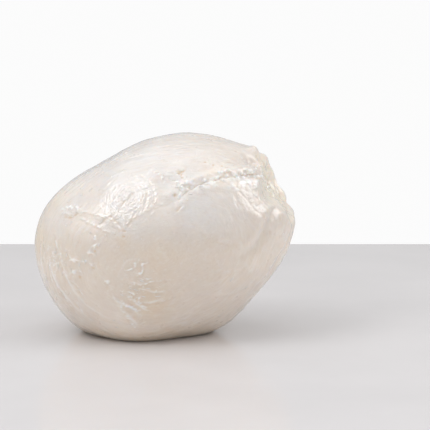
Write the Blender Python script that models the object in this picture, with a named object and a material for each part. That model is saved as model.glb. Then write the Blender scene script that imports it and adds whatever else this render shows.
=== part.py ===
"""A ball of fresh buffalo-style mozzarella, about 94 x 70 x 72 mm, resting on its flattened underside.

The ball is one solid. It is a stretched, tilted ellipsoid of curd with a few soft swells and hollows from the
hand that formed it. One end is the neck where the ball was pinched off its rope of curd: a torn, sunken scar with
an uneven rim, and pleats that run from the rim over the shoulder. The underside has slumped flat where it rests.

Metres, +Z up, origin at the middle of the underside. +X runs along the ball's length, toward the torn neck.
"""

import bmesh
import bpy
import numpy as np
from mathutils import Matrix, Vector

MM = 0.001

NAME = "mozzarella_ball"

# The body: half sizes of the ellipsoid, and how far its long axis rises toward the neck.
HALF_LENGTH = 48.2 * MM
HALF_DEPTH = 35.0 * MM
HALF_THICKNESS = 34.9 * MM
TILT = np.radians(19.4)
CENTRE_HEIGHT = 34.6 * MM  # of the ellipsoid's centre, before the underside is pressed flat

# Swells (+) and hollows (-) of the hand-formed body: azimuth and elevation seen from the centre, reach, height.
# Azimuth 0 is the long axis toward the neck, and -90 is the front.
SWELLS = (
    ("shoulder", 180, 13, 16, 1.35),
    ("shoulder hollow", 180, -24, 15, -1.9),
    ("sloping top", 180, 52, 15, -1.25),
    ("crown", 0, 84, 18, 0.6),
    ("heel", 180, -52, 11, 1.3),
    ("front foot", -114, -54, 23, 3.2),
    ("back foot", 84, -50, 26, 3.0),
    ("belly", -10, -62, 24, 3.0),
    ("back hollow", 112, 18, 20, -1.0),
    ("back cheek", 62, 30, 18, 0.8),
    ("front cheek", -48, -14, 22, 0.9),
    ("under the neck", 4, -30, 16, -0.9),
    ("tip of the neck", -5, 43, 3.2, 0.4),
    ("root of the far flap", 14, 33, 5.5, 1.3),
    ("dent beside the neck", -23, 39, 4.5, -1.1),
)

# The neck: its axis leans up from the long axis, and the scar is a flat cut across it.
NECK_LEAN = np.radians(30.0)
NECK_CUT = 43.4 * MM  # from the ellipsoid's centre to the middle level of the rim
NECK_OFFSET = -3.6 * MM  # of the scar's centre, across the neck's axis
NECK_SLANT = 0.18  # how much the cut runs back toward the front, so that the scar faces it a little
RIM_ROUNDING = 0.6 * MM
RIM_FLARE_REACH = 2.5 * MM
SCAR_RADIUS = 14.0 * MM
SCAR_DEPTH = 3.4 * MM
SCAR_BOWL = 1.5  # how quickly the scar sinks from its rim, higher for a rounder bowl

# Lobes of the torn rim: angle about the neck (0 on top, 90 at the front), half width, rise, outward flare.
RIM_LOBES = (
    ("top tip", 12, 9, 2.4, 2.6),
    ("notch behind the tip", -16, 9, -2.8, -1.8),
    ("far flap", -80, 26, 0.4, 0.8),
    ("corner of the flap", -45, 11, 2.4, 2.0),
    ("front edge", 46, 15, 1.6, 0.4),
    ("gap in the front edge", 88, 15, -2.0, -0.3),
    ("lower front lobe", 124, 18, 1.2, 0.8),
    ("lower notch", 164, 12, -0.9, -0.2),
    ("lower back lobe", -150, 16, 0.4, 0.6),
)

# Lumps and pits of torn curd on the scar's floor: angle about the neck, distance from its middle, reach, height.
SCAR_LUMPS = (
    ("upper lump", 20, 6.0, 3.2, 1.3),
    ("front lump", 105, 7.0, 3.0, 1.2),
    ("lower lump", 190, 6.0, 3.6, 1.4),
    ("inner fold", -60, 5.0, 2.6, -1.5),
    ("middle pit", 60, 1.5, 2.4, -1.2),
)

# Pleats gathered into the neck: angle about it, twist along the way, depth, half width, length, raised upper lip.
PLEATS = (
    ("front pleat", 64, -4, 1.6, 1.8, 30.0, 0.8),
    ("lower front pleat", 106, 9, 1.2, 2.2, 24.0, 0.4),
    ("bottom pleat", 158, -7, 1.0, 2.2, 20.0, 0.3),
    ("lower back pleat", -138, 8, 1.2, 2.1, 26.0, 0.4),
    ("back pleat", -98, -6, 0.9, 2.0, 22.0, 0.3),
    ("top pleat", -16, 5, 0.7, 2.2, 14.0, 0.2),
)
PLEAT_FADE = 0.8  # how early a pleat starts to shallow along its length
LIP_OFFSET = 1.6  # of a pleat's lip from its middle, in half widths

# The underside, slumped under its own weight.
SLUMP_SPREAD = 0.035  # share by which the foot spreads sideways
SLUMP_HEIGHT = 11.0 * MM  # height over which the spread fades
PRESSED = 0.3 * MM  # what would stand this far off the table or less is pressed onto it

# The mesh: cells along each side of the six-sided grid, and how far they are drawn toward the neck.
CELLS = 28
CROWDING = 0.36

CHEESE_COLOUR = (0.83, 0.79, 0.74, 1.0)
CHEESE_ROUGHNESS = 0.32


def direction(azimuth, elevation):
    """Unit vector for an azimuth and an elevation in degrees."""
    turn, rise = np.radians(azimuth), np.radians(elevation)
    return np.array((np.cos(rise) * np.cos(turn), np.cos(rise) * np.sin(turn), np.sin(rise)))


NECK_AXIS = np.array((np.cos(NECK_LEAN), 0.0, np.sin(NECK_LEAN)))
NECK_TOP = np.array((-np.sin(NECK_LEAN), 0.0, np.cos(NECK_LEAN)))
NECK_FRONT = np.array((0.0, -1.0, 0.0))


def unit(vectors):
    """Each row scaled to length one."""
    return vectors / np.linalg.norm(vectors, axis=1, keepdims=True)


def bump(distance, reach):
    """A smooth bell, one at the middle and near zero past twice its reach."""
    return np.exp(-((distance / reach) ** 2))


def turn_between(angles, middle):
    """Difference of two angles in radians, brought into -pi to pi."""
    return (angles - middle + np.pi) % (2 * np.pi) - np.pi


def crowd_toward_neck(directions):
    """Draw the grid's directions toward the neck, where the shape is finest."""
    along = np.clip(directions @ NECK_AXIS, -1, 1)
    away = np.arccos(along)
    across = directions - np.outer(along, NECK_AXIS)
    across /= np.maximum(np.linalg.norm(across, axis=1, keepdims=True), 1e-9)
    drawn = away - CROWDING * np.sin(away)
    return np.outer(np.cos(drawn), NECK_AXIS) + across * np.sin(drawn)[:, None]


def hand_formed_body(directions):
    """The tilted ellipsoid with its swells and hollows."""
    stretched = directions * (HALF_LENGTH, HALF_DEPTH, HALF_THICKNESS)
    tilt = np.array(((np.cos(TILT), 0, -np.sin(TILT)), (0, 1, 0), (np.sin(TILT), 0, np.cos(TILT))))
    points = stretched @ tilt.T
    outward = unit(points)
    rise = np.zeros(len(points))
    for _, azimuth, elevation, reach, height in SWELLS:
        angle = np.arccos(np.clip(outward @ direction(azimuth, elevation), -1, 1))
        rise += height * MM * bump(angle, np.radians(reach))
    return points + outward * rise[:, None]


def seen_along_neck(points):
    """Each point's place along the neck's axis, above it and before it, its angle about it and distance from it."""
    top = points @ NECK_TOP - NECK_OFFSET
    front = points @ NECK_FRONT
    return points @ NECK_AXIS, top, front, np.arctan2(front, top), np.hypot(front, top)


def gather_pleats(points):
    """Press the pleats into the shoulder round the neck, each with a lip along its upper side."""
    along, top, front, around, spread = seen_along_neck(points)
    rim = NECK_CUT - NECK_SLANT * front
    rise = np.zeros(len(points))
    for _, angle, twist, depth, half_width, length, lip in PLEATS:
        run = (rim - along) / (length * MM)  # 0 at the rim, 1 where the pleat dies out
        middle = np.radians(angle) + np.radians(twist) * np.sin(np.pi * np.clip(run, 0, 1))
        off = spread * np.sin(np.clip(turn_between(around, middle), -np.pi / 2, np.pi / 2))
        fade = np.clip(1 - run, 0, 1) ** PLEAT_FADE * (along > 0)
        rise -= depth * MM * bump(off, half_width * MM) * fade
        rise += lip * MM * bump(off + LIP_OFFSET * half_width * MM, half_width * MM) * fade
    return points + unit(points) * rise[:, None]


def tear_neck(points):
    """Cut the neck off at its uneven rim, sink and roughen the scar, and flare the rim's lobes."""
    along, top, front, around, spread = seen_along_neck(points)
    lift = -NECK_SLANT * front
    flare = np.zeros(len(points))
    for _, angle, half_width, rise, outward in RIM_LOBES:
        lobe = bump(turn_between(around, np.radians(angle)), np.radians(half_width))
        lift += rise * MM * lobe
        flare += outward * MM * lobe
    inside = np.clip(spread / SCAR_RADIUS, 0, 1)
    level = NECK_CUT + lift * inside**2 - SCAR_DEPTH * (1 - inside**2) ** SCAR_BOWL
    for _, angle, distance, reach, height in SCAR_LUMPS:
        turn = np.radians(angle)
        off = np.hypot(top - distance * MM * np.cos(turn), front - distance * MM * np.sin(turn))
        level += height * MM * bump(off, reach * MM)
    over = along - level
    rounded = (over + RIM_ROUNDING) ** 2 / (4 * RIM_ROUNDING)
    cut_back = np.where(over < -RIM_ROUNDING, 0.0, np.where(over > RIM_ROUNDING, over, rounded))
    torn = points - np.outer(cut_back, NECK_AXIS)
    at_rim = bump((along - cut_back) - (NECK_CUT + lift), RIM_FLARE_REACH) * inside**3 * (along > 0)
    outward = np.outer(np.cos(around), NECK_TOP) + np.outer(np.sin(around), NECK_FRONT)
    return torn + outward * (flare * at_rim)[:, None]


def rest_on_underside(points):
    """Spread the foot a little and press everything below the resting plane flat."""
    rested = points + (0, 0, CENTRE_HEIGHT)
    height = rested[:, 2]
    spread = 1 + SLUMP_SPREAD * bump(np.maximum(height, 0), SLUMP_HEIGHT)
    rested[:, 0] *= spread
    rested[:, 1] *= spread
    rested[:, 2] = np.where(height < PRESSED, 0.0, height)
    return rested


def ball_surface(directions):
    """Points of the finished ball, one for each unit direction from its centre."""
    body = gather_pleats(hand_formed_body(crowd_toward_neck(directions)))
    points = rest_on_underside(tear_neck(body))
    low, high = points.min(axis=0), points.max(axis=0)
    points[:, :2] -= (low[:2] + high[:2]) / 2
    return points


def make_cheese_material():
    """Wet white skin of the cheese."""
    material = bpy.data.materials.new("fresh_mozzarella_skin")
    material.use_nodes = True
    shader = material.node_tree.nodes["Principled BSDF"]
    shader.inputs["Base Color"].default_value = CHEESE_COLOUR
    shader.inputs["Roughness"].default_value = CHEESE_ROUGHNESS
    shader.inputs["Metallic"].default_value = 0.0
    material.diffuse_color = CHEESE_COLOUR
    return material


def make_ball(collection):
    """One closed solid: a gridded cube blown up to a sphere of directions, then formed."""
    grid = bmesh.new()
    bmesh.ops.create_cube(grid, size=2.0)
    bmesh.ops.subdivide_edges(grid, edges=grid.edges, cuts=CELLS - 1, use_grid_fill=True)
    lean = Matrix.Rotation(-NECK_LEAN, 3, "Y")
    corners = np.array([vertex.co for vertex in grid.verts])
    even = unit(np.tan(corners * np.pi / 4))
    directions = even @ np.array(lean).T
    for vertex, place in zip(grid.verts, ball_surface(directions)):
        vertex.co = Vector(place)
    bmesh.ops.recalc_face_normals(grid, faces=grid.faces)
    mesh = bpy.data.meshes.new(NAME)
    grid.to_mesh(mesh)
    grid.free()
    mesh.shade_smooth()
    mesh.materials.append(make_cheese_material())
    ball = bpy.data.objects.new(NAME, mesh)
    collection.objects.link(ball)
    return ball


def main():
    for old in list(bpy.data.objects):
        bpy.data.objects.remove(old, do_unlink=True)
    collection = bpy.data.collections.new(NAME)
    bpy.context.scene.collection.children.link(collection)
    make_ball(collection)


main()
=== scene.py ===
"""A ball of fresh mozzarella on a pale slab: the wet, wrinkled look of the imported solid.

The ball is built again at a finer grain on the same form as the solid. Its skin carries the folds, creases
and fibre wrinkles of stretched curd, and the torn neck its ragged floor. Shreds of curd and beads of whey
lie on it.

Lengths are metres, and the tables below give them in millimetres and degrees.
"""

import bmesh
import bpy
import numpy as np
from mathutils import Matrix, Vector


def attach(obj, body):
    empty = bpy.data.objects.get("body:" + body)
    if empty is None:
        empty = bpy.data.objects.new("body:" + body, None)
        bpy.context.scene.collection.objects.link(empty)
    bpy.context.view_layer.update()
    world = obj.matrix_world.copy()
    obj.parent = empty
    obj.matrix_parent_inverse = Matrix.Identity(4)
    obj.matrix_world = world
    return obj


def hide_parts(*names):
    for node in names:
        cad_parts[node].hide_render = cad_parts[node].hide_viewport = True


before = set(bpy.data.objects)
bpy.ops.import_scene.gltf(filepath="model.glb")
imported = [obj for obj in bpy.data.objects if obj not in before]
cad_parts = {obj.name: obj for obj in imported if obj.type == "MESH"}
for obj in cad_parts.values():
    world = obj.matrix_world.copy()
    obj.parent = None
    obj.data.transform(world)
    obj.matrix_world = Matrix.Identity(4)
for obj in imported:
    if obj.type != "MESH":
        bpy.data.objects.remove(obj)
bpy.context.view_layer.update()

MM = 0.001
NODE = "mozzarella_ball"

# -----------------------------------------------------------------------------------------------------------
# The form of the ball, as the solid has it.

HALF_LENGTH = 48.2 * MM
HALF_DEPTH = 35.0 * MM
HALF_THICKNESS = 34.9 * MM
TILT = np.radians(19.4)
CENTRE_HEIGHT = 34.6 * MM

# Swells and hollows: azimuth, elevation, reach in degrees, height in mm.
SWELLS = (
    ("shoulder", 180, 13, 16, 1.35),
    ("shoulder hollow", 180, -24, 15, -1.9),
    ("sloping top", 180, 52, 15, -1.25),
    ("crown", 0, 84, 18, 0.6),
    ("heel", 180, -52, 11, 1.3),
    ("front foot", -114, -54, 23, 3.2),
    ("back foot", 84, -50, 26, 3.0),
    ("belly", -10, -62, 24, 3.0),
    ("back hollow", 112, 18, 20, -1.0),
    ("back cheek", 62, 30, 18, 0.8),
    ("front cheek", -48, -14, 22, 0.9),
    ("under the neck", 4, -30, 16, -0.9),
    ("tip of the neck", -5, 43, 3.2, 0.4),
    ("root of the far flap", 14, 33, 5.5, 1.3),
    ("dent beside the neck", -23, 39, 4.5, -1.1),
)

NECK_LEAN = np.radians(30.0)
NECK_CUT = 43.4 * MM
NECK_OFFSET = -3.6 * MM
NECK_SLANT = 0.18  # how much the cut runs back toward the front
RIM_ROUNDING = 0.6 * MM
RIM_FLARE_REACH = 2.5 * MM
SCAR_RADIUS = 14.0 * MM
SCAR_DEPTH = 3.4 * MM
SCAR_BOWL = 1.5

# Lobes of the torn rim: angle about the neck, half width in degrees, rise, outward flare in mm.
RIM_LOBES = (
    ("top tip", 12, 9, 2.4, 2.6),
    ("notch behind the tip", -16, 9, -2.8, -1.8),
    ("far flap", -80, 26, 0.4, 0.8),
    ("corner of the flap", -45, 11, 2.4, 2.0),
    ("front edge", 46, 15, 1.6, 0.4),
    ("gap in the front edge", 88, 15, -2.0, -0.3),
    ("lower front lobe", 124, 18, 1.2, 0.8),
    ("lower notch", 164, 12, -0.9, -0.2),
    ("lower back lobe", -150, 16, 0.4, 0.6),
)

# Lumps and pits on the scar's floor: angle about the neck, distance from its middle, reach, height in mm.
SCAR_LUMPS = (
    ("upper lump", 20, 6.0, 3.2, 1.3),
    ("front lump", 105, 7.0, 3.0, 1.2),
    ("lower lump", 190, 6.0, 3.6, 1.4),
    ("inner fold", -60, 5.0, 2.6, -1.5),
    ("middle pit", 60, 1.5, 2.4, -1.2),
)

# Pleats gathered into the neck: angle about it, twist in degrees, depth, half width, length, upper lip in
# mm.
PLEATS = (
    ("front pleat", 64, -4, 1.6, 1.8, 30.0, 0.8),
    ("lower front pleat", 106, 9, 1.2, 2.2, 24.0, 0.4),
    ("bottom pleat", 158, -7, 1.0, 2.2, 20.0, 0.3),
    ("lower back pleat", -138, 8, 1.2, 2.1, 26.0, 0.4),
    ("back pleat", -98, -6, 0.9, 2.0, 22.0, 0.3),
    ("top pleat", -16, 5, 0.7, 2.2, 14.0, 0.2),
)
PLEAT_FADE = 0.8
LIP_OFFSET = 1.6

SLUMP_SPREAD = 0.035
SLUMP_HEIGHT = 11.0 * MM
FLAT_ROUNDING = 0.2 * MM

# -----------------------------------------------------------------------------------------------------------
# The skin.

CELLS = 128  # along each side of the six-sided grid: 196,608 triangles
NECK_CROWDING = 0.30  # how much closer the grid is drawn toward the neck
FRONT_CROWDING = 0.46
CROWDED_FRONT = (-112, 14)  # azimuth and elevation in degrees
MEAN_RADIUS = 39.0  # mm, turns an angle on the ball into a length on its skin
CREASE_REACH = 5.5  # mm from its path within which a crease is worked out

# Unevenness of the skin, and what its lines wander by: size in mm, seed, octaves and height in mm.
SWELLINGS = ((15, 1, 2, 0.26), (6, 3, 2, 0.10))
NECK_LUMPS = ((4.0, 66, 3, 0.16), (1.3, 69, 1, 0.06))
FIBRE_SWAY = ((13, 11, 1, 2.2), (5, 12, 1, 0.7))
CREASE_WAVER = ((2.6, 41, 1, 0.26), (1.0, 42, 1, 0.26))
THREAD_WAVER = ((4.0, 47, 1, 0.4),)
SPOT_WAVER = ((0.9, 46, 1, 0.35),)

# Wrinkles drawn out along the fibres: length and spacing in mm and a seed, then their depth or rise in mm.
LONG_WRINKLES = (24, 4.0, 31)
LONG_WRINKLE_DEPTH = 0.11
SHORT_WRINKLES = (10, 2.0, 33)
SHORT_WRINKLE_DEPTH = 0.06
FIBRE_RIDGES = (8, 1.3, 35)
FIBRE_RIDGE_RISE = 0.05
FIBRE_STREAK_SPACING = 1.2
FIBRE_STREAK_RISE = 0.02
FIBRE_DRAW = 6  # how many times longer than wide the finest pattern of the fibres is
FIBRES_FROM_POLE = (14 * MM, 34 * MM)  # where the fibres turn from a tangle at the front's middle into rings

# Crinkled skin, in mm: a coarse and a fine net like leather's, and short wrinkles across them.
NET_SIZE = 2.3
FINE_NET_SIZE = 1.1
CROSSING_WRINKLES = (4.0, 1.4, 53)
CRINKLE_DEPTH = 0.06

# Light threads that web the skin, in mm: a coarse and a fine net of them.
WEB_SIZE = 3.4
FINE_WEB_SIZE = 2.0
WEB_RISE = 0.10

# Floor of the torn neck, in mm: layers that ring its middle, threads and lumps. A turn is the radius of the
# circle that one ring of the pattern runs through.
SCAR_LAYER_SPACING = 2.8
SCAR_LAYER_TURN = 1.5
SCAR_LAYER_DEPTH = 0.65
SCAR_THREAD_LENGTH = 7
SCAR_THREAD_TURN = 5.5
SCAR_THREAD_DEPTH = 0.22
SCAR_LUMP_SIZE = 4.4
SCAR_LUMP_HEIGHT = 0.42

# Heights over the table, or places along the neck's axis, where a share of the skin turns from 0 to 1.
ABOVE_TABLE = (0.3 * MM, 3.0 * MM)  # all relief
OFF_FOOT = (4 * MM, 10 * MM)  # shreds and beads
# Yellower and darker towards the foot: partly painted shade where the ball meets the table.
YELLOWED_AND_SHADED_FOOT = (9 * MM, 1 * MM)
# Painted warm shade: the lower side of the ball is tinted warmer and a little darker between these heights.
PAINTED_WARM_SHADE_LOW = (52 * MM, 28 * MM)
NECK_SIDE = (12 * MM, 42 * MM)
NEAR_NECK = (24 * MM, 40 * MM)

STRAY_SHREDS = 0.03  # share of the thickest strewing that reaches all of the skin
STRAY_BEADS = 0.004

# Creases and folds in the skin: a path of azimuths and elevations seen from the ball's centre, then depth,
# half width and the height of the lip on the path's left side, in mm.
CREASES = (
    ("shoulder notch", ((-153, 14), (-149, 14), (-145, 15), (-142, 17)), 0.36, 0.8, 0.16),
    ("shoulder lip", ((-155, 15), (-151, 17), (-147, 18), (-142, 17)), 0.05, 0.9, 0.32),
    ("shoulder thread", ((-142, 17), (-137, 18), (-132, 17), (-127, 17), (-122, 16), (-117, 14)),
     0.07, 0.4, 0.20),
    ("second thread", ((-139, 14), (-133, 12), (-128, 11), (-122, 9)), 0.10, 0.4, 0.26),
    ("star, right", ((-112, 11), (-109, 14), (-106, 18), (-102, 20)), 0.17, 0.45, 0.14),
    ("front fold", ((-101, 20), (-97, 23), (-92, 25), (-86, 26)), 0.08, 0.6, 0.12),
    ("star, left", ((-112, 11), (-115, 14), (-120, 18), (-123, 20)), 0.20, 0.45, 0.14),
    ("star, downward", ((-112, 11), (-112, 8), (-111, 3)), 0.16, 0.45, 0.04),
    ("star, upper", ((-112, 11), (-111, 16), (-113, 21)), 0.20, 0.35, 0.10),
    ("star, upper right", ((-112, 11), (-108, 17), (-106, 22)), 0.20, 0.35, 0.10),
    ("star, low left", ((-112, 11), (-117, 8), (-122, 6)), 0.07, 0.40, 0.05),
    ("star, low right", ((-112, 11), (-106, 11), (-100, 13)), 0.08, 0.40, 0.08),
    ("cross crease", ((-118, 20), (-125, 15), (-128, 9)), 0.18, 0.4, 0.14),
    ("diagonal crease", ((-111, 31), (-114, 28), (-116, 25), (-118, 22)), 0.24, 0.40, 0.10),
    ("highlight crack 1", ((-120, 32), (-122, 28), (-124, 24)), 0.19, 0.35, 0.10),
    ("highlight crack 2", ((-119, 34), (-116, 36), (-111, 36)), 0.17, 0.35, 0.10),
    ("highlight crack 3", ((-109, 33), (-112, 30), (-113, 26)), 0.17, 0.35, 0.08),
    ("highlight crack 4", ((-104, 26), (-108, 22), (-112, 20)), 0.17, 0.35, 0.10),
    ("highlight arc 1", ((-109, 46), (-99, 40), (-95, 32), (-96, 23), (-100, 18)), 0.14, 0.45, 0.16),
    ("highlight arc 2", ((-113, 44), (-104, 39), (-100, 32), (-100, 24)), 0.14, 0.40, 0.14),
    ("highlight arc 3", ((-133, 41), (-126, 45), (-118, 47)), 0.12, 0.40, 0.14),
    ("outer arc", ((-101, 49), (-93, 44), (-90, 40)), 0.16, 0.4, 0.30),
    ("pit", ((-79, 45), (-75, 45), (-72, 47)), 0.34, 0.5, 0.20),
    ("pit's leg", ((-75, 46), (-76, 42)), 0.40, 0.4, 0.10),
    ("chain", ((-76, 42), (-74, 38), (-78, 34), (-81, 30)), 0.20, 0.4, 0.20),
    ("knot's crack", ((-79, 25), (-80, 28), (-75, 32), (-71, 34), (-65, 36), (-60, 37)), 0.16, 0.45, 0.16),
    ("knot's branch", ((-72, 35), (-75, 36), (-79, 38)), 0.24, 0.4, 0.18),
    ("knot's foot", ((-77, 26), (-82, 22)), 0.30, 0.5, 0.20),
    ("neck crack", ((-63, 37), (-58, 37), (-53, 37), (-50, 38), (-46, 39), (-43, 38), (-40, 36)),
     0.26, 0.55, 0.34),
    ("bead row's shade", ((-42, 38), (-35, 36), (-28, 35), (-23, 33)), 0.22, 0.5, 0.10),
    ("second row's shade", ((-40, 34), (-33, 33), (-26, 31), (-20, 30)), 0.20, 0.6, 0.10),
    ("lobe's edge", ((-25, 45), (-24, 42), (-26, 40), (-30, 38)), 0.05, 0.5, 0.08),
    ("near rim 1", ((-19, 38), (-20, 36), (-22, 33)), 0.30, 0.4, 0.35),
    ("top ridge", ((-152, 52), (-148, 60), (-144, 67)), 0.16, 0.45, 0.26),
    ("high band, outer", ((-166, 23), (-167, 36), (-162, 50)), 0.14, 0.4, 0.16),
    ("high band, middle", ((-152, 26), (-153, 34), (-151, 42), (-149, 50)), 0.14, 0.4, 0.16),
    ("high band, inner", ((-138, 54), (-119, 61), (-88, 63)), 0.12, 0.5, 0.12),
    ("crown line", ((-110, 67), (-73, 68), (-51, 58)), 0.10, 0.5, 0.10),
    ("left wrinkle 1", ((-154, 4), (-150, -3), (-147, -10)), 0.20, 0.38, 0.20),
    ("left wrinkle 2", ((-149, 0), (-147, -8), (-145, -14), (-143, -21)), 0.24, 0.38, 0.22),
    ("left wrinkle 3", ((-145, -2), (-142, -5), (-141, -7)), 0.24, 0.35, 0.24),
    ("left wrinkle 4", ((-156, -8), (-156, -15), (-155, -23)), 0.22, 0.38, 0.20),
    ("left wrinkle 5", ((-155, -11), (-153, -19), (-150, -27)), 0.26, 0.38, 0.20),
    ("left wrinkle 6", ((-142, -17), (-139, -20), (-137, -25)), 0.26, 0.38, 0.28),
    ("left wrinkle 7", ((-144, -27), (-143, -31), (-142, -34)), 0.22, 0.35, 0.22),
    ("left wrinkle 8", ((-164, 4), (-161, -2), (-158, -6)), 0.20, 0.35, 0.16),
    ("left wrinkle 9", ((-152, -16), (-151, -22), (-149, -29), (-147, -36)), 0.24, 0.38, 0.20),
    ("nick by the wrinkle", ((-143, -16), (-140, -13), (-137, -12), (-134, -13)), 0.14, 0.40, 0.24),
    ("nick, small", ((-132, -1), (-130, -2), (-128, -3)), 0.12, 0.36, 0.24),
    ("nick, hooked", ((-130, -1), (-128, 1), (-126, 1)), 0.12, 0.36, 0.24),
    ("thread above the nick", ((-129, 7), (-127, 4), (-128, 1)), 0.12, 0.30, 0.30),
    ("nick, low", ((-136, -8), (-133, -7), (-130, -8), (-127, -8)), 0.12, 0.36, 0.22),
    ("nick, far left", ((-143, -8), (-140, -7), (-136, -7)), 0.12, 0.38, 0.24),
    ("nick, lone", ((-122, -18), (-121, -17), (-119, -18)), 0.10, 0.36, 0.20),
    ("lone nick's tail", ((-121, -18), (-122, -21), (-124, -25)), 0.18, 0.4, 0.10),
    ("branch 1", ((-103, -4), (-105, -7), (-107, -9), (-110, -10)), 0.14, 0.35, 0.34),
    ("branch 2", ((-99, -6), (-102, -7), (-102, -11), (-104, -13)), 0.16, 0.35, 0.38),
    ("branch 3", ((-104, -13), (-102, -15), (-97, -17)), 0.14, 0.35, 0.32),
    ("branch 4", ((-107, -23), (-105, -26), (-105, -30), (-100, -31)), 0.18, 0.35, 0.34),
    ("branch 5", ((-111, -23), (-108, -25), (-106, -29), (-104, -32), (-100, -34)), 0.20, 0.38, 0.36),
    ("branch 6", ((-115, -27), (-115, -29), (-112, -31), (-109, -33), (-105, -37)), 0.20, 0.38, 0.38),
    ("branch 7", ((-115, -33), (-113, -39), (-110, -46)), 0.16, 0.40, 0.26),
    ("branch 8", ((-120, -25), (-117, -30), (-114, -38)), 0.14, 0.40, 0.22),
    ("layer 1", ((-106, -18), (-103, -20), (-98, -19), (-94, -18), (-86, -17)), 0.18, 0.45, 0.24),
    ("layer 2", ((-104, -22), (-97, -24), (-93, -25), (-84, -23)), 0.18, 0.45, 0.22),
    ("layer 3", ((-105, -30), (-99, -31), (-92, -31), (-82, -28)), 0.16, 0.45, 0.18),
    ("bottom dip", ((-134, -39), (-132, -42), (-131, -46)), 0.16, 0.45, 0.10),
    ("cheek fold 1", ((-72, 10), (-60, 4), (-48, 2)), 0.12, 0.9, 0.08),
    ("cheek fold 2", ((-66, -12), (-52, -14), (-38, -10)), 0.12, 0.9, 0.08),
    ("cheek fold 3", ((-58, -30), (-44, -28), (-30, -20)), 0.12, 0.9, 0.08),
)

# Folds where the skin above bulges over the skin below: path, then height in mm and how far up it fades out.
BULGES = (
    ("shoulder", ((-160, 14), (-150, 15), (-138, 17), (-127, 16), (-116, 12)), 0.18, 9.0),
    ("front", ((-112, 11), (-106, 17), (-98, 22), (-88, 26)), 0.10, 8.0),
    ("knot by the neck", ((-82, 22), (-76, 26), (-71, 32), (-64, 36)), 0.24, 6.0),
    ("back", ((30, 16), (45, 22), (62, 24), (80, 18)), 0.70, 9.0),
    ("back low", ((96, -4), (110, 4), (124, 6)), 0.60, 8.0),
)
BULGE_EDGE = 2.6  # mm over which a bulge drops at its fold

# Soft threads of curd that run unbroken over the skin: path, half width and rise in mm.
SOFT_THREADS = (
    ("low 1", ((-120, -25), (-115, -29), (-111, -31), (-107, -35), (-104, -40)), 0.55, 0.22),
    ("low 2", ((-117, -30), (-112, -36), (-109, -41), (-106, -45)), 0.50, 0.18),
    ("low 3", ((-112, -23), (-108, -28), (-105, -31), (-101, -34), (-96, -36)), 0.50, 0.22),
    ("low 4", ((-105, -29), (-99, -30), (-93, -29), (-86, -27)), 0.55, 0.16),
    ("low 5", ((-121, -20), (-118, -27), (-116, -33), (-114, -40)), 0.60, 0.12),
    ("low 6", ((-104, -20), (-98, -23), (-91, -24), (-83, -23)), 0.55, 0.14),
    ("middle 1", ((-100, 0), (-104, -4), (-110, -6), (-114, -12), (-115, -18)), 0.55, 0.10),
    ("middle 2", ((-112, -14), (-108, -17), (-102, -18), (-94, -17)), 0.50, 0.10),
    ("left 1", ((-150, 2), (-147, -7), (-143, -17), (-137, -28), (-130, -36)), 0.55, 0.14),
    ("left 2", ((-158, 4), (-155, -7), (-151, -19), (-145, -30), (-138, -38)), 0.60, 0.16),
    ("left 3", ((-166, 6), (-163, -6), (-160, -17), (-154, -28)), 0.60, 0.14),
    ("left 4", ((-143, -20), (-138, -27), (-132, -33), (-125, -38)), 0.50, 0.12),
)

# Bands of close-packed wet lumps in the folds: path, half width, lump height, lump size, filling in mm.
LUMPY_BANDS = (
    ("under the neck crack", ((-70, 33), (-62, 35), (-52, 36), (-42, 36), (-32, 35), (-22, 33)),
     2.2, 0.36, 1.4, 1.1),
    ("lower in the pleat", ((-50, 31), (-38, 31), (-26, 29)), 2.2, 0.16, 1.8, 0.35),
    ("knots", ((-81, 28), (-78, 33), (-73, 37), (-68, 36)), 2.1, 0.22, 1.6, 0.1),
    ("back pleat", ((20, 34), (30, 35), (42, 34)), 2.2, 0.45, 1.6, 0.4),
)

# Small holes and blisters in the skin: azimuth, elevation, radius and rise in mm.
SPOTS = (
    ("pit's deep end", -77.5, 45.6, 0.70, -0.42),
    ("pit's right end", -74.5, 46.0, 0.55, -0.36),
    ("under the pit", -75.7, 41.8, 0.40, -0.26),
    ("knot's hole", -72.4, 35.2, 0.60, -0.50),
    ("left of the knots", -81.8, 31.5, 0.45, -0.34),
    ("star's middle", -111.6, 10.6, 0.45, -0.20),
    ("below the star", -111.5, 7.8, 0.40, -0.14),
    ("dot on the top 1", -54.7, 49.0, 0.40, -0.12),
    ("dot on the top 2", -50.6, 45.8, 0.40, -0.12),
    ("dot on the top 3", -45.4, 43.5, 0.40, -0.12),
    ("hole by the wrinkle", -136.5, -14.5, 0.60, -0.22),
    ("hole by the hook", -127.5, -1.0, 0.45, -0.22),
    ("hole by the low nick", -128.0, -9.5, 0.50, -0.18),
    ("blister by the wrinkle", -139.0, -12.0, 0.70, 0.32),
    ("blister, far left", -139.0, -6.3, 0.75, 0.30),
    ("blister, small", -130.8, -1.8, 0.50, 0.28),
    ("blister, hooked", -127.4, 1.6, 0.60, 0.30),
    ("blister, upper", -127.6, 5.6, 0.60, 0.24),
    ("blister, low left", -132.3, -6.2, 0.45, 0.26),
    ("blister, low right", -129.2, -7.9, 0.45, 0.26),
    ("blister, lone", -120.8, -16.8, 0.60, 0.34),
    ("blister on branch 1", -105.0, -6.8, 0.50, 0.35),
    ("blister on branch 2", -102.6, -12.6, 0.55, 0.40),
    ("blister on branch 6", -112.0, -30.8, 0.60, 0.40),
    ("hole on the back 1", 84.0, 34.0, 0.60, -0.60),
    ("hole on the back 2", 118.0, -8.0, 0.50, -0.50),
    ("blister on the back 1", 124.0, -2.0, 0.70, 0.50),
    ("blister on the back 2", 131.0, -9.0, 0.60, 0.45),
)

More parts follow.
